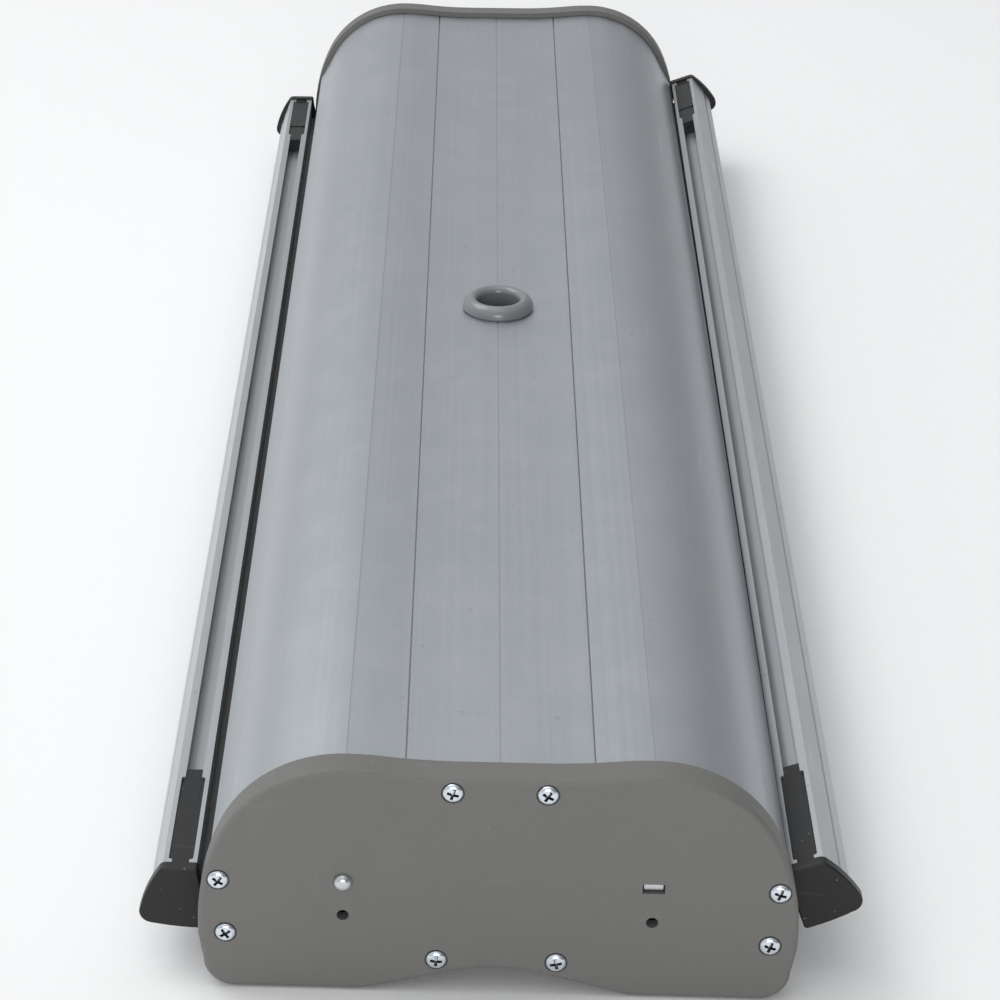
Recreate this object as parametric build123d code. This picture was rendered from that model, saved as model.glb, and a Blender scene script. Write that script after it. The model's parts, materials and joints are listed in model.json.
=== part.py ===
from build123d import *
import math
import os

os.makedirs("parts", exist_ok=True)

# Double-sided roll-up banner stand, stowed: a two-barrel base with a roller in each barrel,
# and a top rail lying along each side. X runs along the base, Y across it, Z up.

# Base: sizes over everything
length = 900.0  # over the two end plates
web = 5.0  # end plate thickness
rim = 12.4  # depth of the end plate's rim along X
proud = 3.2  # how far the rim stands outside the profiles
skin = 1.6  # wall of the extruded profiles
plate_in = length / 2 - web  # inner face of the end plate

# End plate outline, right half
crest_y = 57.0
crest_z = 97.3
crest_r = 51.7
side_y = 21.4
side_z = 29.0
inboard_r = 124.0
knee_y = 43.4
flat_y = 15.5
side_foot_z = 23.0
corner_y = 99.0
corner_r = 11.5
arch_foot_y = 54.0
arch_top_z = 11.1
arch_r = 60.0
arch_blend_r = 26.0

# Seams, lips and film slot
seam_y = 35.3
seam_gap = 0.6
crease_z = 64.0
lip_y = 108.4
lip_z = 52.0
tray_z = 24.6

# Screws: centres on the right half of an end plate
upper_screw = (104.3, 48.5)
lower_screw = (101.9, 25.0)
top_screw = (17.4, 89.0)
floor_screw = (22.5, 14.9)
screw_spots = [upper_screw, lower_screw, top_screw, floor_screw]
port_r = 2.75
port_hole_r = 1.75
shank_r = 1.7
head_r = 3.9
head_h = 2.5
head_sink = 1.1

# Rollers
axle_y = 57.7
axle_z = 49.0
tube_r = 19.0
tube_wall = 1.2
tube_half = 436.0
roll_r = 23.7
film_half = 425.0
film_t = 0.3
pin_r = 3.6
pin_proud = 2.8  # how far the idle pin stands out of the end plate
shaft_r = 5.0
fit_gap = 0.05
tang_w = 7.0
tang_h = 2.7
slot_w = 8.4
slot_h = 4.2
lock_drop = 15.0
lock_r = 2.3

# Pole socket
socket_x = 12.0
socket_r = 10.25
collar_r = 17.3
collar_h = 6.3

# Top rails
rail_half = 428.0
rail_w = 13.0
lip_w = 3.1
slot_to = 9.7
rail_lip_t = 1.4
channel_v = -8.0
rail_foot_v = -22.0
bead_u = 3.0
bead_v = -11.2
bead_r = 1.62
bead_bore_r = 1.70
cap_t = 4.5
window_from = 366.0
window_to = 424.6
# Each rail's inner top edge in Y and Z at mid length, its roll about X and its pitch about Y
left_rail = (114.2, 40.3, 0.0, 0.0)
right_rail = (109.7, 49.8, 20.5, 0.53)


def arc(centre, start, end):
    """The shorter arc about a centre."""
    c = Vector(*centre)
    a = Vector(*start) - c
    b = Vector(*end) - c
    mid = c + (a + b).normalized() * a.length
    return ThreePointArc(start, (mid.X, mid.Y), end)


def region(*edges):
    """A face inside a closed run of edges."""
    return make_face(Curve() + list(edges))


def both(half):
    """A half section joined to its mirror image across the middle."""
    return half + mirror(half, about=Plane.YZ)


def prism(face, x_from, x_to):
    """A bar with a section drawn in Y and Z, between two places along X."""
    return extrude(Plane.YZ.offset(x_from) * face, amount=x_to - x_from)


def disc(y, z, r):
    """A round section at a place in Y and Z."""
    return Pos(y, z) * Circle(r)


def box_face(y_from, y_to, z_from, z_to):
    """A rectangular section between limits in Y and Z."""
    return Pos((y_from + y_to) / 2, (z_from + z_to) / 2) * Rectangle(y_to - y_from, z_to - z_from)


def rod(y, z, r, x_from, x_to):
    """A round bar along X."""
    return prism(disc(y, z, r), x_from, x_to)


def outline_half():
    """The right half of the end plate's outline, filled."""
    dip = math.asin((crest_y - knee_y) / inboard_r)
    knee_z = crest_z - inboard_r * (1 - math.cos(dip))
    hollow_r = (knee_y - flat_y) / math.sin(dip)
    mid_z = knee_z - hollow_r * (1 - math.cos(dip))
    away = Vector(crest_y - side_y, crest_z - crest_r - side_z)
    side_r = crest_r + away.length
    join = Vector(side_y, side_z) + away.normalized() * side_r
    top = (0, mid_z)
    flat = (flat_y, mid_z)
    knee = (knee_y, knee_z)
    crest = (crest_y, crest_z)
    shoulder = (join.X, join.Y)
    waist = (side_y + side_r, side_z)
    hip = (side_y + side_r, side_foot_z)
    corner = (corner_y + corner_r, corner_r)
    heel = (corner_y, 0)
    toe = (arch_foot_y, 0)
    rise = arch_blend_r - arch_top_z + arch_r
    apart = math.hypot(arch_foot_y, rise)
    slope = math.asin((arch_r + arch_blend_r) / apart) - math.atan2(rise, arch_foot_y)
    low = (
        arch_foot_y - arch_blend_r * math.sin(slope),
        arch_blend_r * (1 - math.cos(slope)),
    )
    high = (arch_r * math.sin(slope), arch_top_z - arch_r * (1 - math.cos(slope)))
    return region(
        Line(top, flat),
        arc((flat_y, mid_z + hollow_r), flat, knee),
        arc((crest_y, crest_z - inboard_r), knee, crest),
        arc((crest_y, crest_z - crest_r), crest, shoulder),
        arc((side_y, side_z), shoulder, waist),
        Line(waist, hip),
        Line(hip, corner),
        arc((corner_y, corner_r), corner, heel),
        Line(heel, toe),
        arc((arch_foot_y, arch_blend_r), toe, low),
        Line(low, high),
        arc((0, arch_top_z - arch_r), high, (0, arch_top_z)),
        Line((0, arch_top_z), top),
    )


outline = both(outline_half())
outer = offset(outline, amount=-proud)
inner = offset(outline, amount=-proud - skin)
wall = outer - inner
half_range = 300.0


def port(y, z):
    """A screw port: a ring of profile wall around a screw."""
    return disc(y, z, port_r)


def port_hole(y, z):
    """The screw port's bore."""
    return disc(y, z, port_hole_r)


# Top panel, between the two seams, resting on a ledge of each barrel shell
panel_y = seam_y - seam_gap
panel = wall & box_face(-panel_y, panel_y, 50, 120)
for side in (-1, 1):
    panel += port(side * top_screw[0], top_screw[1])
    panel -= port_hole(side * top_screw[0], top_screw[1])
middle_z = (outer & box_face(-1, 1, 50, 120)).bounding_box().max.Y
panel -= box_face(-0.3, 0.3, middle_z - 0.4, middle_z + 1)
top_panel = prism(panel, -plate_in, plate_in)
top_panel -= Pos(socket_x, 0, middle_z) * Cylinder(12.2, 20)

# Barrel shells: over the crest and down the side to the lip above the film slot
shell = wall & box_face(seam_y, half_range, crease_z, 120)
edge = outer & box_face(0, half_range, crease_z - 0.01, crease_z + 0.01)
crease_y = edge.bounding_box().max.X
lip = make_face(
    Polyline(
        (crease_y, crease_z),
        (lip_y - 0.6, lip_z + 0.8),
        (lip_y, lip_z),
        (lip_y - 0.5, lip_z - 1.2),
        (lip_y - 3.4, lip_z - 3.2),
        (lip_y - 5.0, lip_z - 2.2),
        (lip_y - 2.2, lip_z + 0.2),
        (crease_y - 1.75, crease_z),
        (crease_y, crease_z),
    )
)
shell += lip
shell += port(*upper_screw)
shell -= port_hole(*upper_screw)
shell += Pos(0, -skin - 0.05) * (wall & box_face(seam_y - 4.5, seam_y + 3.0, 50, 120))
shell += Pos(0, -skin / 2) * (wall & box_face(seam_y + 0.4, seam_y + 2.8, 50, 120))
crest_line = (outer & box_face(crest_y - 0.2, crest_y + 0.2, 50, 120)).bounding_box().max.Y
shell -= box_face(crest_y - 0.25, crest_y + 0.25, crest_line - 0.35, crest_line + 1)
rim_in = length / 2 - rim - 0.2
barrel_shell_right = prism(shell, -rim_in, rim_in)
barrel_shell_right += prism(shell & outer, -plate_in, plate_in)
barrel_shell_left = mirror(barrel_shell_right, about=Plane.XZ)

# Bottom tray: the floor with its arch, up to the lower edge of the film slots
tray_half = wall & box_face(0, half_range, -10, tray_z)
tray_half += box_face(lower_screw[0], 107.6, lower_screw[1] - 2.4, lower_screw[1] - 0.9)
tray_half += port(*lower_screw)
tray_half += port(*floor_screw)
tray_half -= port_hole(*lower_screw)
tray_half -= port_hole(*floor_screw)
tray = both(tray_half)
bottom_tray = prism(tray, -plate_in, plate_in)
tray_top_z = (tray & box_face(-3, 3, 0, 40)).bounding_box().max.Y
tray_low_z = (tray & box_face(-0.5, 0.5, 0, 40)).bounding_box().min.Y
bottom_tray -= Pos(socket_x, 0, tray_top_z) * Cylinder(2.3, 20)

# End plate at +X: a moulded cap whose rim hides the sawn ends of the profiles
plate = prism(outline, plate_in, length / 2)
plate += prism(outline - offset(outline, amount=-proud + 0.2), length / 2 - rim, plate_in)
outer_edges = plate.faces().sort_by(Axis.X)[-1].outer_wire().edges()
plate = fillet(outer_edges, 2.4)
plate += rod(-axle_y, axle_z, 7.0, plate_in - 3.5, plate_in)
plate += prism(box_face(axle_y - 8, axle_y + 8, axle_z - 5, axle_z + 5), plate_in - 3.5, plate_in)
plate -= rod(-axle_y, axle_z, pin_r + fit_gap, plate_in - 10, length)
tang_hole = box_face(axle_y - slot_w / 2, axle_y + slot_w / 2, axle_z - slot_h / 2, axle_z + slot_h / 2)
plate -= prism(tang_hole, plate_in + 1, length)
tang_seat = box_face(axle_y - tang_w / 2, axle_y + tang_w / 2, axle_z - tang_h / 2, axle_z + tang_h / 2)
plate -= prism(tang_seat, plate_in - 10, plate_in + 1)
for side in (-1, 1):
    plate -= rod(side * axle_y, axle_z - lock_drop, lock_r, plate_in - 1, length)
    for y, z in screw_spots:
        plate -= rod(side * y, z, 2.2, plate_in - 1, length)
        plate -= rod(side * y, z, head_r + 0.5, length / 2 - head_sink, length)
end_plate_near = plate
end_plate_far = plate.rotate(Axis.Z, 180)


def screw(y, z):
    """A pan-head screw with a cross recess, head towards +X."""
    seat = length / 2 - head_sink
    head = rod(y, z, head_r, seat, seat + head_h)
    head = fillet(head.edges().sort_by(Axis.X)[-1], 1.6)
    body = head + rod(y, z, shank_r, seat - 16, seat)
    for turn in (0, 90):
        blade = Pos(seat + head_h - 0.75, y, z) * Rot(45 + turn, 0, 0) * Box(1.7, 4.4, 0.95)
        body -= blade
    return body


near_screws = [screw(side * y, z) for side in (-1, 1) for y, z in screw_spots]
end_plate_screws_near = Compound(children=near_screws)
far_screws = [one.rotate(Axis.Z, 180) for one in near_screws]
end_plate_screws_far = Compound(children=far_screws)

# Pole socket: a rounded collar on the panel, a tube below it, and a foot on the tray
collar_z = middle_z + 0.03
crown_r = 13.6
collar_edges = [
    Line((socket_r, 0), (16.5, 0)),
    Line((16.5, 0), (16.5, 0.55)),
    Line((16.5, 0.55), (collar_r, 0.9)),
    ThreePointArc((collar_r, 0.9), (16.3, 4.2), (crown_r, collar_h)),
    ThreePointArc((crown_r, collar_h), (11.4, 5.7), (socket_r, 3.6)),
    Line((socket_r, 3.6), (socket_r, 0)),
]
ring = Pos(0, collar_z) * make_face(Wire(collar_edges))
spigot_z = middle_z - 9
ring += Pos((socket_r + 12.0) / 2, (spigot_z + middle_z + 2) / 2) * Rectangle(
    12.0 - socket_r, middle_z + 2 - spigot_z
)
pole_socket_collar = Pos(socket_x, 0, 0) * revolve(Plane.XZ * ring, Axis.Z)
pole_socket_collar -= Pos(socket_x, 0, middle_z) * Cylinder(socket_r, 60)
foot_z = tray_top_z
foot_h = 9.0
pole_socket_tube = Pos(socket_x, 0, (foot_z + 4 + spigot_z) / 2) * (
    Cylinder(12.0, spigot_z - foot_z - 4) - Cylinder(socket_r, 200)
)
foot = Pos(socket_x, 0, foot_z + foot_h / 2) * Cylinder(15.0, foot_h)
foot -= Pos(socket_x, 0, foot_z + 4 + foot_h / 2) * Cylinder(12.05, foot_h)
foot -= Pos(socket_x, 0, foot_z) * Cylinder(1.7, 30)
pole_socket_foot = foot
foot_screw = Pos(socket_x, 0, tray_low_z - 1.25) * Cylinder(3.6, 2.2)
foot_screw += Pos(socket_x, 0, (tray_low_z + foot_z + 3.1) / 2) * Cylinder(
    1.65, foot_z + 3.9 - tray_low_z
)
pole_socket_screw = foot_screw


def ring_bar(r_out, r_in, x_from, x_to):
    """A tube about the right roller's axis."""
    return rod(axle_y, axle_z, r_out, x_from, x_to) - rod(axle_y, axle_z, r_in, x_from - 1, x_to + 1)


# Right roller: sprung end at +X, idle end at -X
bore_r = tube_r - tube_wall
tube = ring_bar(tube_r, bore_r, -tube_half, tube_half)
roll = ring_bar(roll_r, tube_r, -film_half, film_half)
plug_end = tube_half + 3
spring_plug = ring_bar(bore_r, shaft_r + fit_gap, tube_half - 28, tube_half)
spring_plug += ring_bar(tube_r + 1.5, shaft_r + fit_gap, tube_half, plug_end)
spring_plug -= rod(axle_y, axle_z - lock_drop, lock_r, tube_half - 10, plug_end + 1)
idle_plug = ring_bar(bore_r, pin_r, -tube_half, -tube_half + 28)
idle_plug += ring_bar(tube_r + 1.5, pin_r, -plug_end, -tube_half)
idle_plug -= rod(axle_y, axle_z - lock_drop, lock_r, -plug_end - 1, -tube_half + 10)
pin = rod(axle_y, axle_z, pin_r, -length / 2 - pin_proud, -tube_half + 24)
pin = fillet(pin.edges().sort_by(Axis.X)[0], 2.7)
anchor = ring_bar(bore_r, shaft_r + fit_gap, 236, 250)
shaft = rod(axle_y, axle_z, shaft_r, 228, plate_in - 4)
shaft += prism(tang_seat, plate_in - 4, plate_in + 3.2)
spring = ring_bar(8.6, 7.2, 251.5, tube_half - 30)


def to_left(solid):
    """The same set for the left barrel, turned end for end."""
    return solid.rotate(Axis.Z, 180)


# Rail section in its own axes: u outboard from the inner edge, v down from the top
rail_face = make_face(
    Polyline(
        (0, 0),
        (rail_w, 0),
        (17.0, -10.2),
        (15.7, -10.5),
        (15.9, -12.4),
        (17.6, -12.5),
        (19.0, -16.6),
        (17.4, -18.4),
        (8.5, rail_foot_v),
        (0, rail_foot_v),
        (0, 0),
    )
)
rail_face -= box_face(lip_w, slot_to, -rail_lip_t - 1, 1)
under = make_face(
    Polyline(
        (1.3, -rail_lip_t),
        (12.0, -rail_lip_t),
        (14.6, channel_v),
        (1.3, channel_v),
        (1.3, -rail_lip_t),
    )
)
rail_face -= under
rail_face -= make_face(
    Polyline((6.6, -9.5), (14.2, -9.5), (14.5, -12.9), (16.8, -16.6), (7.9, -20.3), (6.6, -9.5))
)
rail_face -= disc(bead_u, bead_v, bead_bore_r)
rail_face -= box_face(-1, bead_u, bead_v - 0.75, bead_v + 0.75)
rail_face -= box_face(7.6, 8.2, channel_v - 0.4, channel_v + 0.1)

# Cap section: taller and wider than the rail, flared at its foot
cap_edges = [
    Line((0.4, 0.9), (11.6, 0.9)),
    ThreePointArc((11.6, 0.9), (13.3, 0.4), (14.5, -0.9)),
    ThreePointArc((14.5, -0.9), (18.9, -8.8), (21.9, -17.6)),
    ThreePointArc((21.9, -17.6), (21.6, -21.8), (18.2, -24.3)),
    ThreePointArc((18.2, -24.3), (9.0, -25.7), (-0.6, -26.3)),
    ThreePointArc((-0.6, -26.3), (-1.8, -25.9), (-2.2, -24.6)),
    Line((-2.2, -24.6), (-2.2, -8.2)),
    ThreePointArc((-2.2, -8.2), (-1.4, -4.6), (-0.9, -0.6)),
    ThreePointArc((-0.9, -0.6), (-0.5, 0.5), (0.4, 0.9)),
]
cap_face = make_face(Wire(cap_edges))


def cap(end):
    """The moulded cap at one end of a rail; end is +1 or -1."""
    body = prism(cap_face, rail_half, rail_half + cap_t)
    body = fillet(body.faces().sort_by(Axis.X)[-1].outer_wire().edges(), 0.8)
    gap = 0.1
    tongue = make_face(
        Polyline(
            (1.3 + gap, -rail_lip_t - gap),
            (11.8, -rail_lip_t - gap),
            (14.3, channel_v + gap),
            (1.3 + gap, channel_v + gap),
            (1.3 + gap, -rail_lip_t - gap),
        )
    )
    body += prism(tongue, window_from - 8, rail_half)
    pad = window_from + 16
    high = Pos((pad + window_to - 0.2) / 2, 6.4, -1.2) * Box(window_to - 0.2 - pad, 9.0, 1.4)
    body += fillet(high.edges().filter_by(Axis.Z), 1.3)
    body += prism(box_face(lip_w + gap, slot_to - gap, -2, -0.2), window_to - 0.4, rail_half)
    body += prism(box_face(lip_w + gap, slot_to - gap, -2, -0.9), window_from - 7, pad)
    low = Pos((window_from + 0.2 + pad + 4) / 2, 6.4, -1.5) * Box(pad + 3.8 - window_from, 9.0, 0.7)
    body += fillet(low.edges().filter_by(Axis.Z), 1.3)
    return body if end > 0 else mirror(body, about=Plane.YZ)


def rail_bar():
    """The extruded rail with a window cut through its lips near each end."""
    bar = prism(rail_face, -rail_half, rail_half)
    for end in (-1, 1):
        middle = end * (window_from + window_to) / 2
        cut = Pos(middle, (1.7 + 11.1) / 2, 0) * Box(window_to - window_from, 9.4, 2 * rail_lip_t + 0.2)
        cut = fillet(cut.edges().filter_by(Axis.Z), 1.2)
        bar -= cut
    return bar


def place_rail(solid, spot):
    """Sets a rail part at its inner top edge, rolled about X and pitched about Y."""
    y, z, roll, pitch = spot
    return Pos(0, y, z) * Rot(0, pitch, 0) * Rot(roll, 0, 0) * solid


def bead_centre(spot, x):
    """Where a placed rail's bead lies at a place along X, in Y and Z."""
    y, z, roll, pitch = spot
    c = math.cos(math.radians(roll))
    s = math.sin(math.radians(roll))
    rise = -x * math.tan(math.radians(pitch))
    return (y + bead_u * c - bead_v * s, z + bead_u * s + bead_v * c + rise)


def bead(spot):
    """The round bead strip along the film's edge."""
    return place_rail(rod(bead_u, bead_v, bead_r, -film_half, film_half), spot)


def ribbon(points, thickness):
    """A thin strip section along a run of points."""
    upper = []
    lower = []
    for i, (y, z) in enumerate(points):
        a = points[max(i - 1, 0)]
        b = points[min(i + 1, len(points) - 1)]
        run = math.hypot(b[0] - a[0], b[1] - a[1])
        ny = -(b[1] - a[1]) / run * thickness / 2
        nz = (b[0] - a[0]) / run * thickness / 2
        upper.append((y + ny, z + nz))
        lower.append((y - ny, z - nz))
    return make_face(Polyline(*upper, *reversed(lower), upper[0]))


def web_section(spot, x):
    """The unwound film at a place along X: off the roll, through the slot, to the bead."""
    bead_y, bead_z = bead_centre(spot, x)
    roll = math.radians(spot[2])
    end_gap = bead_r + 0.05
    end = (bead_y - end_gap * math.cos(roll), bead_z - end_gap * math.sin(roll))
    mouth = (bead_y - 4.0 * math.cos(roll), bead_z - 4.0 * math.sin(roll))
    reach_y = mouth[0] - axle_y
    reach_z = mouth[1] - axle_z
    reach = math.hypot(reach_y, reach_z)
    wrap_r = roll_r + film_t / 2 + 0.1
    touch = math.atan2(reach_z, reach_y) - math.acos(wrap_r / reach)
    points = []
    for back in (15, 12, 9, 6, 3, 0):
        a = touch - math.radians(back)
        points.append((axle_y + wrap_r * math.cos(a), axle_z + wrap_r * math.sin(a)))
    points += [mouth, end]
    return Plane.YZ.offset(x) * ribbon(points, film_t)


def film_web(spot):
    """The unwound stretch of film, the full width of the banner."""
    return loft([web_section(spot, -film_half), web_section(spot, film_half)], ruled=True)


nodes = {
    "top_panel": top_panel,
    "barrel_shell_left": barrel_shell_left,
    "barrel_shell_right": barrel_shell_right,
    "bottom_tray": bottom_tray,
    "end_plate_near": end_plate_near,
    "end_plate_far": end_plate_far,
    "end_plate_screws_near": end_plate_screws_near,
    "end_plate_screws_far": end_plate_screws_far,
    "pole_socket_collar": pole_socket_collar,
    "pole_socket_tube": pole_socket_tube,
    "pole_socket_foot": pole_socket_foot,
    "pole_socket_screw": pole_socket_screw,
}
roller_set = {
    "roller_tube": tube,
    "film_roll": roll,
    "spring_plug": spring_plug,
    "idle_plug": idle_plug,
    "idle_pin": pin,
    "spring_anchor": anchor,
    "spring_shaft": shaft,
    "torsion_spring": spring,
}
for name, solid in roller_set.items():
    nodes[name + "_right"] = solid
    nodes[name + "_left"] = to_left(solid)
for side, spot in (("right", right_rail), ("left", left_rail)):
    rail_set = {
        "rail": place_rail(rail_bar(), spot),
        "rail_cap_near": place_rail(cap(1), spot),
        "rail_cap_far": place_rail(cap(-1), spot),
        "bead_strip": bead(spot),
        "film_web": film_web(spot),
    }
    for name, solid in rail_set.items():
        nodes[name + "_" + side] = solid if side == "right" else mirror(solid, about=Plane.XZ)

for name, solid in nodes.items():
    solid.label = name
    export_step(solid, "parts/" + name + ".step")
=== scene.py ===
# %% Load the measured frame of the banner stand
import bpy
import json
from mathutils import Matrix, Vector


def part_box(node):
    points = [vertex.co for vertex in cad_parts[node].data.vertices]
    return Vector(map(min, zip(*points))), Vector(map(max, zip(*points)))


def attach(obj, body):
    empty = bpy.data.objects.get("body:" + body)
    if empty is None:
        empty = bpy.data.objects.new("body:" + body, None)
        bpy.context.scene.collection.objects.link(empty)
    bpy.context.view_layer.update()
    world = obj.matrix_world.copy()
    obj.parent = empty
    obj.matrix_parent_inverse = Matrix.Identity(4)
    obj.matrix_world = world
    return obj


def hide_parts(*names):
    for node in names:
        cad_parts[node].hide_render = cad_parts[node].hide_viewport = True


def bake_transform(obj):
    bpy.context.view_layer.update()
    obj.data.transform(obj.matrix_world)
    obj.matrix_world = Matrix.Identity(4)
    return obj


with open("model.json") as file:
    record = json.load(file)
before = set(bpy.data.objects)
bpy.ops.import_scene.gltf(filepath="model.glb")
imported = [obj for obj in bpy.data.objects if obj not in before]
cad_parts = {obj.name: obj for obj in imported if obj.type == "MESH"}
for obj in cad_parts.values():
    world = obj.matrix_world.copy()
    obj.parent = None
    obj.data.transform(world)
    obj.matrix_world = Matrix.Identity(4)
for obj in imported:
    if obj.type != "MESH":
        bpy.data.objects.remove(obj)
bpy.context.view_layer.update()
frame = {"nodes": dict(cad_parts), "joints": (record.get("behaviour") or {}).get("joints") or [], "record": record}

# %% [markdown]
# # A double-sided roll-up banner stand, stowed
#
# The stand is a flat base made of four aluminium extrusions between two moulded end plates.
# Two sprung rollers inside it hold the banners. A top rail lies along each side, with the
# banner's edge in it, and a round socket in the middle takes a pole.
# The engineering frame already has every solid in its real place, in metres.
# This lesson adds the looks: finishes for each part, and finer pieces where the plain solids
# stand for something with more detail, such as a coil spring, a wound film or a screw head.

# %% Modules
import json
import math

import bmesh
import bpy
from mathutils import Matrix, Vector

nodes = frame["nodes"]
joints = {joint["name"]: joint for joint in frame["joints"]}

# %% [markdown]
# ## Shader maths that reads like arithmetic
#
# A finish is worked out from grey values: how strong the die lines are, where dust lies.
# They could be wired by hand in the shader editor, with a Math node for each step.
# A small class that wraps a socket and overloads +, - and * is shorter, and the formula stays
# readable. Everything else goes through one method that adds a node, sets it and links it.


# %% A wrapped shader value
class Value:
    """A grey value on its way through a material's nodes."""

    def __init__(self, finish, socket):
        self.finish = finish
        self.socket = socket

    def __add__(self, other):
        return self.finish.maths("ADD", self, other)

    def __sub__(self, other):
        return self.finish.maths("SUBTRACT", self, other)

    def __rsub__(self, other):
        return self.finish.maths("SUBTRACT", other, self)

    def __mul__(self, other):
        return self.finish.maths("MULTIPLY", self, other)

    __radd__ = __add__
    __rmul__ = __mul__


# %% A finish, built node by node
class Finish:
    """One material. Patterns read Object coordinates, which are metres in the stand's frame."""

    def __init__(self, name):
        self.material = bpy.data.materials.new(name)
        self.material.use_nodes = True
        self.tree = self.material.node_tree
        self.tree.nodes.clear()
        self.place = self.node("ShaderNodeTexCoord", output="Object")

    def node(self, kind, settings=None, sockets=None, output=0):
        """Adds a node, sets it, then gives each socket a value or a link."""
        made = self.tree.nodes.new(kind)
        for key, setting in (settings or {}).items():
            setattr(made, key, setting)
        for key, given in (sockets or {}).items():
            if isinstance(given, Value):
                self.tree.links.new(given.socket, made.inputs[key])
            else:
                made.inputs[key].default_value = given
        return Value(self, made.outputs[output]) if made.outputs else None

    def maths(self, operation, a, b):
        return self.node("ShaderNodeMath", {"operation": operation}, {0: a, 1: b})

    def grain(self, scale, stretch=(1, 1, 1), turn=(0, 0, 0), detail=2.0, roughness=0.5):
        """Noise from 0 to 1 with that many waves to the metre, stretched along an axis."""
        spot = self.node(
            "ShaderNodeMapping",
            sockets={"Vector": self.place, "Rotation": turn, "Scale": stretch},
        )
        return self.node(
            "ShaderNodeTexNoise",
            sockets={"Vector": spot, "Scale": scale, "Detail": detail, "Roughness": roughness},
        )

    def between(self, value, low, high):
        """0 below low, 1 above high."""
        return self.node(
            "ShaderNodeMapRange", sockets={"Value": value, "From Min": low, "From Max": high}
        )

    def blend(self, share, under, over):
        """A colour that goes from under to over as share goes from 0 to 1."""
        colours = {}
        for key, colour in ((6, under), (7, over)):
            colours[key] = colour if isinstance(colour, Value) else (*colour, 1.0)
        return self.node("ShaderNodeMix", {"data_type": "RGBA"}, {0: share, **colours}, 2)

    def close(self, colour, roughness, height, **fixed):
        """Ends the finish: height is the relief in metres, and fixed holds plain values."""
        bump = self.node("ShaderNodeBump", sockets={"Distance": 1.0, "Height": height})
        sockets = {"Base Color": colour, "Roughness": roughness, "Normal": bump}
        for key, value in fixed.items():
            sockets[key.replace("_", " ").title().replace("Ior", "IOR")] = value
        surface = self.node("ShaderNodeBsdfPrincipled", sockets=sockets)
        self.node("ShaderNodeOutputMaterial", sockets={"Surface": surface})
        print("finish", self.material.name, "has", len(self.tree.nodes), "nodes")
        return self.material


# %% [markdown]
# ## Extruded and drawn aluminium
#
# The panels and rails are pushed through a steel die and then anodised. The die leaves faint
# lines along the length, the etch before anodising leaves a soft satin grain, and use leaves
# short rubs. An image of brushed metal would repeat over 900 mm, so the lines are noise that is
# stretched hundreds of times along X. The same recipe serves every bar, with its own tone.


# %% Aluminium bars
def drawn_metal(name, tone, dull, lines, rubs, dust):
    """Metal drawn along X: lines is the depth of the die lines in metres."""
    finish = Finish(name)
    die = finish.grain(1.0, stretch=(1.4, 620.0, 620.0), detail=4.0, roughness=0.62)
    satin = finish.grain(2600.0, detail=2.0)
    cloud = finish.grain(5.5, stretch=(0.45, 1.6, 1.6), detail=3.0)
    rub = finish.between(
        finish.grain(70.0, stretch=(0.25, 3.2, 3.2), turn=(0, 0, 0.22), detail=3.0), 0.66, 0.72
    )
    nick = finish.between(finish.grain(210.0, stretch=(1.0, 1.0, 0.5), detail=1.0), 0.77, 0.79)
    haze = finish.between(finish.grain(38.0, detail=4.0, roughness=0.7), 0.42, 0.78)
    light = tuple(min(1.0, part * 1.07) for part in tone)
    deep = tuple(part * 0.93 for part in tone)
    colour = finish.blend(die * 0.55 + cloud * 0.45, deep, light)
    colour = finish.blend(haze * dust, colour, (0.60, 0.59, 0.56))
    colour = finish.blend(rub * rubs, colour, tuple(min(1.0, part * 1.22) for part in tone))
    colour = finish.blend(nick * rubs, colour, tuple(part * 0.55 for part in tone))
    roughness = dull + (die - 0.5) * 0.14 + (cloud - 0.5) * 0.10 + haze * (dust * 0.5)
    roughness = roughness - rub * (rubs * 0.25)
    height = die * lines + satin * (lines * 0.25) - nick * (rubs * 0.00006)
    return finish.close(colour, roughness, height, metallic=0.92)


anodised = drawn_metal("anodised_aluminium", (0.455, 0.480, 0.510), 0.44, 0.000011, 0.30, 0.14)
rail_metal = drawn_metal("rail_aluminium", (0.500, 0.515, 0.535), 0.38, 0.000013, 0.45, 0.12)
mill_metal = drawn_metal("mill_aluminium", (0.66, 0.66, 0.655), 0.30, 0.000016, 0.50, 0.05)

# %% [markdown]
# ## Moulded end plates and caps
#
# The end plates are injection moulded in a taupe plastic. The mould was spark eroded, which
# gives a fine pitted skin, and it was drawn upwards, so the pits run together into short
# vertical streaks. A bump alone would look like sand. Two grains are mixed, one even and one
# stretched along Z, and the same grains dull the highlights a little.


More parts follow.
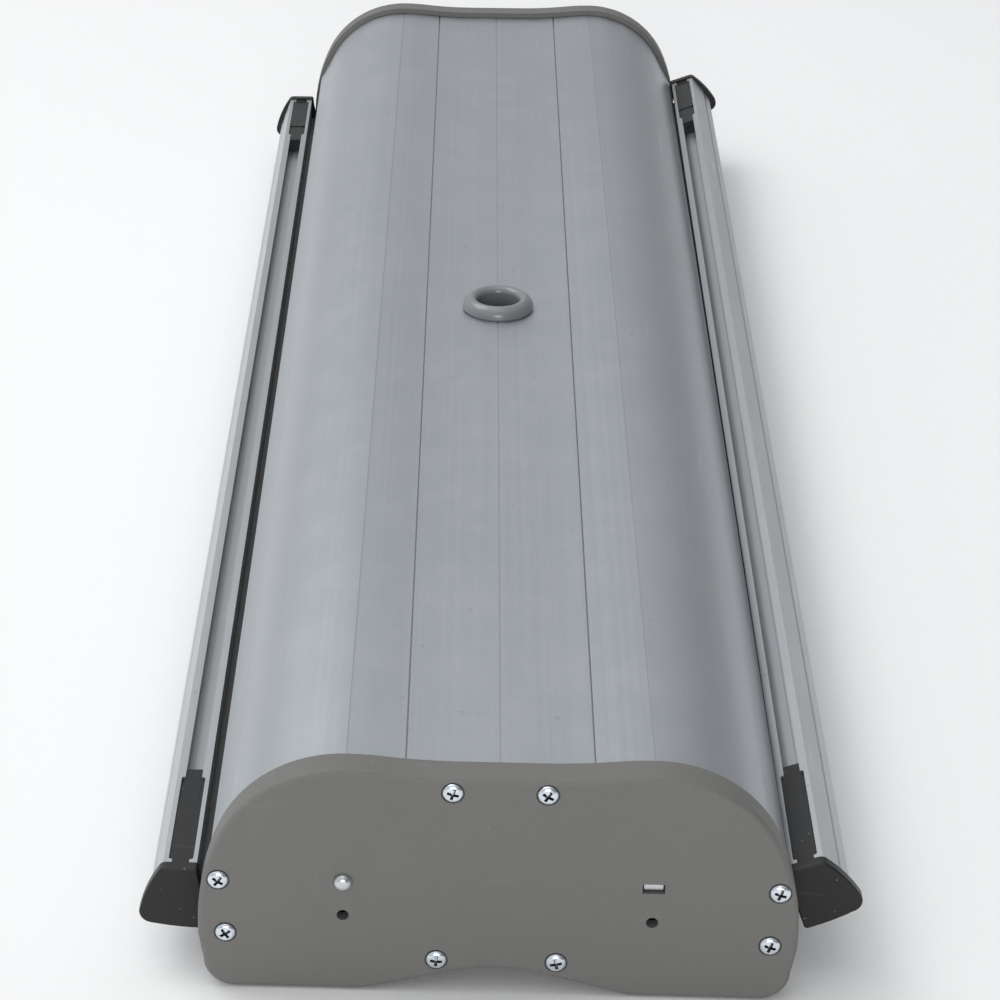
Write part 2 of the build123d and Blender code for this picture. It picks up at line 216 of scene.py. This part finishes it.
# %% Matte plastics
def moulded(name, tone, dull, pit, streak, scuffs, dust):
    """A moulded skin: pit is the relief in metres, streak its share that runs along Z."""
    finish = Finish(name)
    even = finish.grain(1500.0, detail=3.0, roughness=0.6)
    drawn = finish.grain(900.0, stretch=(1.0, 1.0, 0.16), detail=2.0, roughness=0.55)
    cloud = finish.grain(16.0, detail=4.0, roughness=0.6)
    scuff = finish.between(
        finish.grain(95.0, stretch=(1.0, 0.35, 2.4), turn=(0.5, 0, 0), detail=3.0), 0.665, 0.72
    )
    speck = finish.between(finish.grain(420.0, detail=1.0), 0.74, 0.78)
    skin = even * (1.0 - streak) + drawn * streak
    colour = finish.blend(
        skin * 0.6 + cloud * 0.4,
        tuple(part * 0.86 for part in tone),
        tuple(part * 1.14 for part in tone),
    )
    scraped = tuple(min(1.0, part * 1.5 + 0.03) for part in tone)
    colour = finish.blend(scuff * scuffs, colour, scraped)
    colour = finish.blend(speck * dust, colour, (0.52, 0.50, 0.47))
    roughness = dull + (skin - 0.5) * 0.22 + (cloud - 0.5) * 0.10 + speck * (dust * 0.3)
    height = skin * pit - scuff * (scuffs * 0.00002)
    return finish.close(colour, roughness, height, specular_ior_level=0.42)


taupe = moulded("end_plate_plastic", (0.166, 0.163, 0.157), 0.56, 0.00016, 0.70, 0.10, 0.10)
black = moulded("black_plastic", (0.0105, 0.011, 0.0115), 0.42, 0.00005, 0.35, 0.40, 0.22)
nylon = moulded("nylon", (0.66, 0.64, 0.58), 0.50, 0.00003, 0.2, 0.20, 0.10)

# %% [markdown]
# ## The glossy collar of the pole socket
#
# The collar is polished in its mould, so it shows clear highlights where the plates show none.
# Poles have been dropped through it, which leaves fine rings of wear on the inner slope.
# A clear coat over a slightly duller base gives the soft double highlight of gloss plastic.

# %% Collar finish
gloss = Finish("collar_plastic")
swirl = gloss.grain(240.0, stretch=(1.0, 1.0, 4.0), detail=3.0)
hair = gloss.between(gloss.grain(160.0, stretch=(1.0, 0.3, 5.0), turn=(0, 0, 0.7)), 0.67, 0.71)
veil = gloss.grain(45.0, detail=4.0, roughness=0.65)
collar_tone = gloss.blend(veil, (0.185, 0.190, 0.200), (0.225, 0.229, 0.238))
collar_tone = gloss.blend(hair * 0.30, collar_tone, (0.36, 0.36, 0.365))
collar = gloss.close(
    collar_tone,
    0.30 + (swirl - 0.5) * 0.10 + hair * 0.18 + (veil - 0.5) * 0.08,
    swirl * 0.000008 - hair * 0.000012,
    coat_weight=0.35,
    coat_roughness=0.12,
)

# %% [markdown]
# ## Zinc and steel
#
# The screws are stamped, threaded and then bright zinc plated with a blue passivate.
# The plating follows the tool marks, so it glints in specks instead of one smooth spot.
# The springs are oil-hardened wire, nearly black, and the roller shafts are plain plated rod.
# The faces inside a screw's cross recess carry a value that paints shade into the recess and
# darkens it, and on every other piece the value is missing and counts as nought.


# %% Plated and oiled steel
def plated(name, low, high, dull, grit, stain):
    """Shiny steel with tool marks. The two tones are mixed in soft clouds."""
    finish = Finish(name)
    marks = finish.grain(2100.0, stretch=(1.0, 1.0, 0.5), detail=3.0, roughness=0.65)
    cloud = finish.grain(330.0, detail=3.0)
    spot = finish.between(finish.grain(900.0, detail=2.0), 0.68, 0.74)
    painted_recess_shade = finish.node("ShaderNodeAttribute", {"attribute_name": "painted_recess_shade"}, output="Fac")
    colour = finish.blend(cloud, low, high)
    colour = finish.blend(spot * stain, colour, tuple(part * 0.45 for part in low))
    # Painted shade: faces inside a screw's cross recess are darkened almost to black.
    colour = finish.blend(painted_recess_shade * (0.82 + marks * 0.2), colour, (0.020, 0.021, 0.026))
    roughness = dull + (marks - 0.5) * 0.24 + (cloud - 0.5) * 0.12 + spot * (stain * 0.3)
    roughness = roughness + painted_recess_shade * 0.3
    return finish.close(colour, roughness, marks * grit, metallic=1.0)


zinc = plated("zinc_screw", (0.62, 0.69, 0.77), (0.86, 0.90, 0.94), 0.25, 0.00002, 0.5)
rod_steel = plated("zinc_steel", (0.56, 0.58, 0.60), (0.72, 0.74, 0.76), 0.30, 0.000012, 0.4)
spring_wire = plated("spring_steel", (0.13, 0.13, 0.135), (0.24, 0.235, 0.23), 0.36, 0.00001, 0.4)

# %% [markdown]
# ## Banner film
#
# The film is a coated polyester with a grey layer that stops light. Its coating is matte with a
# very fine tooth that takes ink, and rolling leaves long soft marks across the width. It is
# nearly flat in colour, so the interest is in the way that its sheen breaks up.

# %% Film finish
film = Finish("banner_film")
tooth = film.grain(3200.0, detail=2.0)
wound_marks = film.grain(9.0, stretch=(0.3, 22.0, 22.0), detail=3.0)
smudge = film.between(film.grain(26.0, detail=4.0, roughness=0.65), 0.55, 0.80)
film_tone = film.blend(wound_marks, (0.135, 0.136, 0.140), (0.185, 0.186, 0.190))
film_tone = film.blend(smudge * 0.18, film_tone, (0.26, 0.255, 0.245))
film_finish = film.close(
    film_tone,
    0.55 + (tooth - 0.5) * 0.12 + (wound_marks - 0.5) * 0.12 + smudge * 0.06,
    tooth * 0.000006 + wound_marks * 0.00002,
    specular_ior_level=0.4,
)

# %% [markdown]
# ## Giving each solid its finish
#
# The record of the frame says which finish each solid takes. Reading it from there, instead of
# listing the names again, keeps the looks and the engineering record in step.

# %% Assign finishes from the record
finishes = {
    "anodised_aluminium": anodised,
    "rail_aluminium": rail_metal,
    "mill_aluminium": mill_metal,
    "end_plate_plastic": taupe,
    "collar_plastic": collar,
    "black_plastic": black,
    "nylon": nylon,
    "banner_film": film_finish,
    "zinc_screw": zinc,
    "zinc_steel": rod_steel,
    "spring_steel": spring_wire,
}
for row in frame["record"]["subparts"]:
    mesh = nodes[row["node"]].data
    mesh.materials.clear()
    mesh.materials.append(finishes[row["material_slot"]])

# %% [markdown]
# ## A recipe for repeated things
#
# Screws, coils and wound film all repeat a simple shape by a rule, which is what Geometry Nodes
# are for. The class below builds a tree step by step, gives it named sizes, and turns its result
# into a plain mesh, because the finished stand has to hold real geometry and no modifiers.


# %% Geometry Nodes helper
class Recipe:
    """A Geometry Nodes tree with named inputs, given as name: (kind of socket, value)."""

    def __init__(self, name, sizes):
        self.name = name
        self.sizes = sizes
        self.tree = bpy.data.node_groups.new(name, "GeometryNodeTree")
        sockets = self.tree.interface
        sockets.new_socket("Geometry", in_out="INPUT", socket_type="NodeSocketGeometry")
        self.identifiers = {}
        for label, (kind, _) in sizes.items():
            made = sockets.new_socket(label, in_out="INPUT", socket_type="NodeSocket" + kind)
            self.identifiers[label] = made.identifier
        sockets.new_socket("Geometry", in_out="OUTPUT", socket_type="NodeSocketGeometry")
        self.given = self.tree.nodes.new("NodeGroupInput").outputs

    def node(self, kind, settings=None, sockets=None, output=0):
        """Adds a node, sets it, then gives each socket a value or a link."""
        made = self.tree.nodes.new(kind)
        for key, setting in (settings or {}).items():
            setattr(made, key, setting)
        for key, given in (sockets or {}).items():
            if isinstance(given, bpy.types.NodeSocket):
                self.tree.links.new(given, made.inputs[key])
            else:
                made.inputs[key].default_value = given
        return made.outputs[output] if made.outputs else None

    def end(self, shape, material, smooth=True):
        """Ends the tree in real geometry with its material."""
        shape = self.node(
            "GeometryNodeSetShadeSmooth", sockets={"Geometry": shape, "Shade Smooth": smooth}
        )
        shape = self.node("GeometryNodeRealizeInstances", sockets={"Geometry": shape})
        shape = self.node(
            "GeometryNodeSetMaterial", sockets={"Geometry": shape, "Material": material}
        )
        self.node("NodeGroupOutput", sockets={"Geometry": shape})

    def make(self, name, points=()):
        """Runs the tree on an object of loose points and returns a plain mesh object."""
        mesh = bpy.data.meshes.new(name)
        mesh.from_pydata([tuple(point) for point in points], [], [])
        host = bpy.data.objects.new(name + "_host", mesh)
        bpy.context.scene.collection.objects.link(host)
        modifier = host.modifiers.new(self.name, "NODES")
        modifier.node_group = self.tree
        for label, (_, value) in self.sizes.items():
            modifier[self.identifiers[label]] = value
        graph = bpy.context.evaluated_depsgraph_get()
        plain = bpy.data.meshes.new_from_object(host.evaluated_get(graph))
        bpy.data.objects.remove(host)
        made = bpy.data.objects.new(name, plain)
        bpy.context.scene.collection.objects.link(made)
        print(name, "has", len(plain.polygons), "faces")
        return made


# %% [markdown]
# ## Pan-head screws
#
# Eight self-tapping screws hold each end plate. Seen close, a pan head has a short upright
# side, a rounded shoulder, a nearly flat top, and a cross recess that narrows as it goes down.
# The head and the shank are one profile turned about the axis, and the recess is cut with a
# tapered cross. The threads are a saw-tooth profile, because they sit out of sight in the ports.

# %% One screw, axis along X, seat at the origin
head_r, head_h = 0.0039, 0.0025
shank_end = -0.016
thread_pitch = 0.0014


def turned(profile, steps):
    """A closed solid of revolution about X, from points of (x, radius) that start and end at 0."""
    shape = bmesh.new()
    rings = []
    for x, r in profile:
        if r == 0:
            rings.append([shape.verts.new((x, 0, 0))])
            continue
        angles = [2 * math.pi * i / steps for i in range(steps)]
        rings.append([shape.verts.new((x, r * math.cos(a), r * math.sin(a))) for a in angles])
    for low, high in zip(rings, rings[1:]):
        for i in range(steps):
            k = (i + 1) % steps
            below = [low[i % len(low)], low[k % len(low)]]
            above = [high[k % len(high)], high[i % len(high)]]
            shape.faces.new(list(dict.fromkeys(below + above)))
    bmesh.ops.recalc_face_normals(shape, faces=shape.faces)
    return shape


def as_object(shape, name):
    mesh = bpy.data.meshes.new(name)
    shape.to_mesh(mesh)
    shape.free()
    made = bpy.data.objects.new(name, mesh)
    bpy.context.scene.collection.objects.link(made)
    return made


profile = [(shank_end, 0), (shank_end + 0.0004, 0.0008), (shank_end + 0.002, 0.00135)]
ridge = shank_end + 0.0028
while ridge < -0.0022:
    profile += [(ridge, 0.00135), (ridge + 0.0005, 0.00168), (ridge + 0.0006, 0.00168)]
    ridge += thread_pitch
profile += [(ridge, 0.00135), (-0.0008, 0.0015), (0, 0.00165), (0, head_r - 0.00012)]
profile += [(0.00012, head_r), (0.0009, head_r)]
for step in range(1, 9):
    turn = math.pi / 2 * step / 8
    profile.append((0.0009 + 0.0014 * math.sin(turn), head_r - 0.0019 * (1 - math.cos(turn))))
profile += [(head_h - 0.00006, 0.0011), (head_h, 0)]
screw = as_object(turned(profile, 40), "screw_blank")


# %% The tapered cross recess
def cross_ring(x, reach, half):
    """Twelve corners of a cross at a height, as far as reach and half as wide as half."""
    corner = [(reach, half), (half, half), (half, reach)]
    ring = []
    for quarter in range(4):
        c, s = math.cos(quarter * math.pi / 2), math.sin(quarter * math.pi / 2)
        ring += [(x, y * c - z * s, y * s + z * c) for y, z in corner]
    return ring


cutter_shape = bmesh.new()
levels = [(head_h + 0.0003, 0.00250, 0.00060), (head_h - 0.0012, 0.00185, 0.00050)]
levels.append((head_h - 0.0018, 0.0009, 0.0004))
cross = [[cutter_shape.verts.new(co) for co in cross_ring(*level)] for level in levels]
cutter_shape.faces.new(cross[0])
cutter_shape.faces.new(cross[-1])
for upper, lower in zip(cross, cross[1:]):
    for i in range(12):
        k = (i + 1) % 12
        cutter_shape.faces.new([upper[i], upper[k], lower[k], lower[i]])
bmesh.ops.recalc_face_normals(cutter_shape, faces=cutter_shape.faces)
cutter = as_object(cutter_shape, "recess_cutter")
cut = screw.modifiers.new("recess", "BOOLEAN")
cut.operation, cut.solver, cut.object = "DIFFERENCE", "EXACT", cutter
graph = bpy.context.evaluated_depsgraph_get()
screw.data = bpy.data.meshes.new_from_object(screw.evaluated_get(graph))
screw.modifiers.clear()
bpy.data.objects.remove(cutter)
# Faces inside the cross recess get a weight of painted shade, which darkens them in the zinc finish.
painted_recess_shades = []
for face in screw.data.polygons:
    spread = math.hypot(face.center.y, face.center.z)
    inside = face.center.x > head_h - 0.00175 and spread < 0.0026
    faces_in = face.normal.x < 0.8 or face.center.x < head_h - 0.0009
    painted_recess_shades.append(float(inside and faces_in))
screw.data.attributes.new("painted_recess_shade", "FLOAT", "FACE").data.foreach_set("value", painted_recess_shades)
print("one screw has", len(screw.data.polygons), "faces")

# %% [markdown]
# ## Where the screws go
#
# Each end plate's eight heads are already in the frame, as loose shells of one solid. Grouping
# their points by nearness gives every screw's axis. Each is driven home to its own angle, so a
# Random Value node with a fixed seed turns the crosses.


# %% Screw seats
def shell_centres(node, apart):
    """The middle in Y and Z of each loose shell of a node."""
    groups = []
    for vertex in nodes[node].data.vertices:
        y, z = vertex.co.y, vertex.co.z
        near = [g for g in groups if abs(g[0] - y) < apart and abs(g[2] - z) < apart]
        if near:
            g = near[0]
            g[:] = [min(g[0], y), max(g[1], y), min(g[2], z), max(g[3], z)]
        else:
            groups.append([y, y, z, z])
    return [((g[0] + g[1]) / 2, (g[2] + g[3]) / 2) for g in groups]


seats = []
for node, side in (("end_plate_screws_near", 1), ("end_plate_screws_far", -1)):
    outer_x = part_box(node)[1 if side > 0 else 0].x
    found = shell_centres(node, 0.009)
    seats += [(outer_x - side * head_h, y, z) for y, z in found]
print(len(seats), "screw seats")

# %% All the screws as one mesh
screws = Recipe(
    "screws_on_seats",
    {"Screw": ("Object", screw), "Most turn": ("Float", math.pi / 2), "Seed": ("Int", 11)},
)
spin = screws.node(
    "FunctionNodeRandomValue",
    {"data_type": "FLOAT"},
    {"Max": screws.given["Most turn"], "Seed": screws.given["Seed"]},
    "Value",
)
where = screws.node("GeometryNodeInputPosition")
along = screws.node("ShaderNodeSeparateXYZ", sockets={0: where})
behind = screws.node("ShaderNodeMath", {"operation": "LESS_THAN"}, {0: along, 1: 0.0})
about = screws.node("ShaderNodeMath", {"operation": "MULTIPLY"}, {0: behind, 1: math.pi})
facing = screws.node("ShaderNodeCombineXYZ", sockets={"X": spin, "Z": about})
single = screws.node(
    "GeometryNodeObjectInfo", sockets={"Object": screws.given["Screw"]}, output="Geometry"
)
placed = screws.node(
    "GeometryNodeInstanceOnPoints",
    sockets={"Points": screws.given["Geometry"], "Instance": single, "Rotation": facing},
)
screws.end(placed, zinc, smooth=False)
pan_head_screws = screws.make("pan_head_screws", seats)
bpy.data.objects.remove(screw)
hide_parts("end_plate_screws_near", "end_plate_screws_far")
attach(pan_head_screws, "base")

# %% [markdown]
# ## Torsion springs
#
# A long spring inside each roller pulls its banner back in. The frame holds a plain sleeve for
# it. The real one is round wire wound nearly solid, with about 95 turns. A Spiral curve with a
# height, given a round profile, is exactly that, and the turn count follows from the pitch.

# %% Springs as coils
for side in ("left", "right"):
    low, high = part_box("torsion_spring_" + side)
    middle = (low + high) / 2
    reach = (high.y - low.y) / 2
    wire_r = 0.0007
    length = high.x - low.x - 2 * wire_r
    coil = Recipe(
        "torsion_coil_" + side,
        {
            "Turns": ("Float", length / 0.00163),
            "Radius": ("Float", reach - wire_r),
            "Length": ("Float", length),
            "Wire radius": ("Float", wire_r),
        },
    )
    line = coil.node(
        "GeometryNodeCurveSpiral",
        sockets={
            "Resolution": 20,
            "Rotations": coil.given["Turns"],
            "Start Radius": coil.given["Radius"],
            "End Radius": coil.given["Radius"],
            "Height": coil.given["Length"],
        },
    )
    wire = coil.node(
        "GeometryNodeCurvePrimitiveCircle",
        sockets={"Resolution": 6, "Radius": coil.given["Wire radius"]},
    )
    wound = coil.node(
        "GeometryNodeCurveToMesh", sockets={"Curve": line, "Profile Curve": wire, "Fill Caps": True}
    )
    set_down = coil.node(
        "GeometryNodeTransform",
        sockets={
            "Geometry": wound,
            "Translation": (low.x + wire_r, middle.y, middle.z),
            "Rotation": (0, math.pi / 2, 0),
        },
    )
    coil.end(set_down, spring_wire)
    spring = coil.make("coil_spring_" + side)
    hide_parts("torsion_spring_" + side)
    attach(spring, "base")

# %% [markdown]
# ## Wound film
#
# The banner is wound on its tube, and the end of the roll shows the turns as a fine spiral.
# A solid ring would look like a bung. Here a flat spiral is given the film's thickness outwards
# and then drawn out to the film's width, so each end shows its turns.

# %% Rolls of film
turns_of_film = 15
film_thickness = 0.0003
for side in ("left", "right"):
    low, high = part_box("film_roll_" + side)
    tube_low, tube_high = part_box("roller_tube_" + side)
    middle = (low + high) / 2
    roll_r = (high.y - low.y) / 2
    tube_r = (tube_high.y - tube_low.y) / 2
    roll = Recipe(
        "wound_film_" + side,
        {
            "Turns": ("Float", float(turns_of_film)),
            "Tube radius": ("Float", tube_r + 0.00003),
            "Roll radius": ("Float", roll_r - film_thickness * 0.9),
            "Thickness": ("Float", film_thickness * 0.9),
            "Width": ("Float", high.x - low.x),
        },
    )
    line = roll.node(
        "GeometryNodeCurveSpiral",
        sockets={
            "Resolution": 72,
            "Rotations": roll.given["Turns"],
            "Start Radius": roll.given["Tube radius"],
            "End Radius": roll.given["Roll radius"],
            "Height": 0.0,
        },
    )
    edge = roll.node("GeometryNodeCurveToMesh", sockets={"Curve": line})
    where = roll.node("GeometryNodeInputPosition")
    outward = roll.node("ShaderNodeVectorMath", {"operation": "NORMALIZE"}, {0: where})
    strip = roll.node(
        "GeometryNodeExtrudeMesh",
        {"mode": "EDGES"},
        {"Mesh": edge, "Offset": outward, "Offset Scale": roll.given["Thickness"]},
    )
    across = roll.node("ShaderNodeCombineXYZ", sockets={"Z": roll.given["Width"]})
    drawn_out = roll.node(
        "GeometryNodeExtrudeMesh",
        {"mode": "FACES"},
        {"Mesh": strip, "Offset": across, "Individual": False},
    )
    near_end = roll.node("GeometryNodeFlipFaces", sockets={"Mesh": strip})
    both = roll.tree.nodes.new("GeometryNodeJoinGeometry")
    roll.tree.links.new(near_end, both.inputs[0])
    roll.tree.links.new(drawn_out, both.inputs[0])
    sealed = roll.node(
        "GeometryNodeMergeByDistance", sockets={"Geometry": both.outputs[0], "Distance": 0.000001}
    )
    set_down = roll.node(
        "GeometryNodeTransform",
        sockets={
            "Geometry": sealed,
            "Translation": (low.x, middle.y, middle.z),
            "Rotation": (0, math.pi / 2, 0),
        },
    )
    roll.end(set_down, film_finish, smooth=False)
    wound = roll.make("wound_film_" + side)
    shape = bmesh.new()
    shape.from_mesh(wound.data)
    bmesh.ops.recalc_face_normals(shape, faces=shape.faces)
    shape.to_mesh(wound.data)
    shape.free()
    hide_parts("film_roll_" + side)
    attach(wound, "roller_" + side)

# %% [markdown]
# ## The film between roller and rail
#
# A hand's breadth of film leaves each roll, passes through the slot under the barrel's lip and
# ends in the bead inside the top rail. When the banner is pulled up, this stretch has to become
# two metres of film without cutting into the barrel. So the rows of the mesh are close together
# in the few millimetres between lip and rail.

# %% Film sheets
columns = 24
rows_in_gap = 44
lip_clear = 0.0006
mouth_depth = 0.004
film_to_roll = 0.0001
gap_ends = {"left": 0.1127, "right": 0.1116}


def film_path(side, sign, x):
    """The film's line in Y and Z at a place along X, from the roll to the bead."""
    low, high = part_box("film_roll_" + side)
    centre_y, centre_z = abs(low.y + high.y) / 2, (low.z + high.z) / 2
    rock = joints["rail_rock_" + side]
    pivot, axis = Vector(rock["pos_m"]), Vector(rock["axis"])
    bead = pivot + axis * ((x - pivot.x) / axis.x)
    tilt = math.radians(-rock["range_deg"][0]) if side == "right" else 0.0
    bead_low, bead_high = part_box("bead_strip_" + side)
    bead_r = (bead_high.y - bead_low.y) / 2
    inward = Vector((-math.cos(tilt), -math.sin(tilt)))
    at_bead = Vector((abs(bead.y), bead.z))
    tip = at_bead + inward * (bead_r + 0.00005)
    mouth = at_bead + inward * mouth_depth
    wrap = (high.y - low.y) / 2 + film_thickness / 2 + film_to_roll
    reach = mouth - Vector((centre_y, centre_z))
    touch = math.atan2(reach.y, reach.x) - math.acos(wrap / reach.length)
    line = []
    for back in (0.28, 0.21, 0.14, 0.07, 0.0):
        turn = touch - back
        line.append(Vector((centre_y + wrap * math.cos(turn), centre_z + wrap * math.sin(turn))))
    leave = line[-1]
    lip_low, lip_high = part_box("barrel_shell_" + side)
    lip_y = max(abs(lip_low.y), abs(lip_high.y))
    from_y, to_y = lip_y + lip_clear, gap_ends[side]
    for step in range(1, 12):
        share = step / 12 * (from_y - leave.x) / (mouth.x - leave.x)
        line.append(leave.lerp(mouth, share))
    for step in range(rows_in_gap + 1):
        y = from_y + (to_y - from_y) * step / rows_in_gap
        line.append(leave.lerp(mouth, (y - leave.x) / (mouth.x - leave.x)))
    line += [mouth, tip]
    line.sort(key=lambda point: point.x)
    return [Vector((x, sign * point.x, point.y)) for point in line], from_y, to_y


for side, sign in (("left", -1), ("right", 1)):
    low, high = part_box("film_roll_" + side)
    grid = []
    for column in range(columns + 1):
        x = low.x + (high.x - low.x) * column / columns
        line, from_y, to_y = film_path(side, sign, x)
        grid.append(line)
    rows = len(grid[0])
    corners = [tuple(point) for line in grid for point in line]
    faces = []
    for column in range(columns):
        for row in range(rows - 1):
            a = column * rows + row
            faces.append((a, a + 1, a + rows + 1, a + rows))
    mesh = bpy.data.meshes.new("film_sheet_" + side)
    mesh.from_pydata(corners, [], faces)
    mesh.polygons.foreach_set("use_smooth", [True] * len(mesh.polygons))
    mesh.materials.append(film_finish)
    sheet = bpy.data.objects.new("film_sheet_" + side, mesh)
    bpy.context.scene.collection.objects.link(sheet)
    thick = sheet.modifiers.new("film_thickness", "SOLIDIFY")
    thick.thickness, thick.offset = film_thickness, 0.0
    steps = zip(grid[0], grid[0][1:])
    run = sum((b - a).length for a, b in steps)
    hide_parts("film_web_" + side)
    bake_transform(sheet)
    print(sheet.name, "is", round(run * 1000, 1), "mm long between roll and bead")

# %% [markdown]
# ## Floor
#
# The stand lies on plain pale paper. The sheet is very large, so that its edge stays out of
# every view. It isn't part of the object.

# %% Paper floor
paper_shape = bmesh.new()
bmesh.ops.create_circle(paper_shape, cap_ends=True, radius=40.0, segments=64)
for vertex in paper_shape.verts:
    vertex.co.z = -0.0004
floor = as_object(paper_shape, "studio_floor")
paper = Finish("studio_paper")
fibre = paper.grain(300.0, detail=3.0)
paper_tone = paper.blend(fibre, (0.93, 0.93, 0.93), (0.96, 0.96, 0.96))
floor.data.materials.append(paper.close(paper_tone, 0.75 + fibre * 0.1, fibre * 0.00003))

# %% [markdown]
# ## Soft studio light
#
# Metal shows what is round it, so the room matters more than the lamps. The room is brightest
# overhead and falls off towards the right, which leaves the right-hand flank in shade, as under
# one large window. A gradient on the world's own directions does that without any hard edge.
# Small hard lamps would draw lines on the satin metal, so the few lamps are large soft boxes.


# %% Lights
def soft_box(name, spot, aim, width, depth, watts, tint=(1, 1, 1)):
    """A large rectangular lamp that points at a place."""
    lamp = bpy.data.lights.new(name, "AREA")
    lamp.shape, lamp.size, lamp.size_y = "RECTANGLE", width, depth
    lamp.energy, lamp.color = watts, tint
    made = bpy.data.objects.new(name, lamp)
    bpy.context.scene.collection.objects.link(made)
    made.location = spot
    made.rotation_euler = (Vector(spot) - Vector(aim)).to_track_quat("Z", "Y").to_euler()
    return made


soft_box("key_box", (-0.5, -1.3, 2.1), (-0.1, 0.0, 0.05), 1.6, 1.2, 18)
soft_box("top_box", (0.1, -0.3, 2.4), (0.0, 0.0, 0.0), 2.2, 1.4, 8)
soft_box("front_box", (4.0, 0.0, 1.1), (0.45, 0.0, 0.05), 1.6, 1.2, 40)
overhead, rightward, farther = 0.42, -0.30, -0.10
world = bpy.data.worlds.new("bright_room")
bpy.context.scene.world = world
world.use_nodes = True
room = world.node_tree
room.nodes.clear()
direction = room.nodes.new("ShaderNodeTexCoord").outputs["Generated"]
fall = room.nodes.new("ShaderNodeVectorMath")
fall.operation = "DOT_PRODUCT"
room.links.new(direction, fall.inputs[0])
fall.inputs[1].default_value = (farther, rightward, overhead)
level = room.nodes.new("ShaderNodeMath")
level.operation = "ADD"
room.links.new(fall.outputs["Value"], level.inputs[0])
level.inputs[1].default_value = 0.325
strength = room.nodes.new("ShaderNodeMath")
strength.operation = "MAXIMUM"
room.links.new(level.outputs[0], strength.inputs[0])
strength.inputs[1].default_value = 0.12
backdrop = room.nodes.new("ShaderNodeBackground")
backdrop.inputs["Color"].default_value = (0.97, 0.985, 1.0, 1.0)
room.links.new(strength.outputs[0], backdrop.inputs["Strength"])
shown = room.nodes.new("ShaderNodeOutputWorld")
room.links.new(backdrop.outputs[0], shown.inputs["Surface"])
bpy.context.scene.view_settings.view_transform = "Standard"
print(len(bpy.data.lights), "lamps")

# %% [markdown]
# ## Camera
#
# The view looks down the length of the stand from just past one end plate, with a long lens.
# The numbers are the camera's own place, its heading and its lens, so they are set directly.
# Building the three axes by hand keeps heading, tilt and roll apart and easy to change.

# %% View
heading, down, roll_angle = math.radians(2.907), math.radians(27.398), math.radians(-0.202)
up = Vector((0, 0, 1))
level_back = Vector((math.cos(heading), math.sin(heading), 0))
level_right = Vector((-math.sin(heading), math.cos(heading), 0))
back = level_back * math.cos(down) + up * math.sin(down)
tilted_up = up * math.cos(down) - level_back * math.sin(down)
right = level_right * math.cos(roll_angle) + tilted_up * math.sin(roll_angle)
top = tilted_up * math.cos(roll_angle) - level_right * math.sin(roll_angle)
lens = bpy.data.cameras.new("view")
lens.sensor_width = 36.0
lens.lens = 111.02
lens.shift_x, lens.shift_y = 0.1809, 0.0170
lens.clip_start = 0.05
camera = bpy.data.objects.new("view", lens)
bpy.context.scene.collection.objects.link(camera)
turn = Matrix((right, top, back)).transposed().to_4x4()
camera.matrix_world = Matrix.Translation((1.4053, -0.0175, 0.6974)) @ turn
bpy.context.scene.camera = camera
print("camera at", tuple(round(v, 3) for v in camera.location))

# %% [markdown]
#
# Looks must not change sizes.

# %% Update the view layer
bpy.context.view_layer.update()
